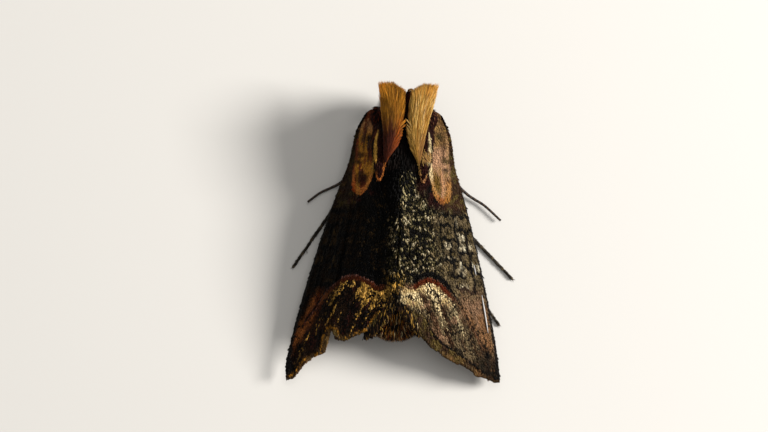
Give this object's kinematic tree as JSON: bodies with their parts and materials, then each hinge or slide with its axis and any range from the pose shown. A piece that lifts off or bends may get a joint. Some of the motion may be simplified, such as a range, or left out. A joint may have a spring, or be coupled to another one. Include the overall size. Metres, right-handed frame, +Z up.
{
  "type": "owlet moth at rest",
  "caption": "Life-size still model of an owlet moth at rest, like a dog-faced looper: wings folded in a roof, two ochre brushes on the collar.",
  "frame": {"origin": "middle of the moth's footprint on the ground, under its outermost points", "axes": "+Z up, -Y towards the head, +Y towards the tail, +X towards the moth's own left"},
  "size_m": [0.0136, 0.0182, 0.006],
  "materials": {
    "forewing_scales": "dusty scales, mottled olive, black, rust and gold",
    "hindwing_scales": "dull grey-brown scales",
    "body_hair": "dark brown hair and scales",
    "ochre_hair": "ochre hair",
    "antenna": "dark brown, fine rings",
    "leg_scales": "dark grey-brown scales",
    "eye": "glossy dark brown facets",
    "proboscis": "amber brown"
  },
  "bodies": {
    "root": {"forewing_left": "forewing_scales", "hindwing_left": "hindwing_scales", "eye_left": "eye", "palp_left": "body_hair", "tegula_left": "body_hair", "antenna_left": "antenna", "collar_brush_left": "ochre_hair", "foreleg_tarsus_left": "leg_scales", "foreleg_tibia_left": "leg_scales", "foreleg_femur_left": "leg_scales", "midleg_tarsus_left": "leg_scales", "midleg_tibia_left": "leg_scales", "midleg_femur_left": "leg_scales", "hindleg_tarsus_left": "leg_scales", "hindleg_tibia_left": "leg_scales", "hindleg_femur_left": "leg_scales", "forewing_right": "forewing_scales", "hindwing_right": "hindwing_scales", "eye_right": "eye", "palp_right": "body_hair", "tegula_right": "body_hair", "antenna_right": "antenna", "collar_brush_right": "ochre_hair", "foreleg_tarsus_right": "leg_scales", "foreleg_tibia_right": "leg_scales", "foreleg_femur_right": "leg_scales", "midleg_tarsus_right": "leg_scales", "midleg_tibia_right": "leg_scales", "midleg_femur_right": "leg_scales", "hindleg_tarsus_right": "leg_scales", "hindleg_tibia_right": "leg_scales", "hindleg_femur_right": "leg_scales", "thorax": "body_hair", "thorax_crest": "body_hair", "collar": "body_hair", "head": "body_hair", "proboscis": "proboscis", "abdomen": "body_hair", "tail_tuft": "body_hair"}
  },
  "joints": []
}
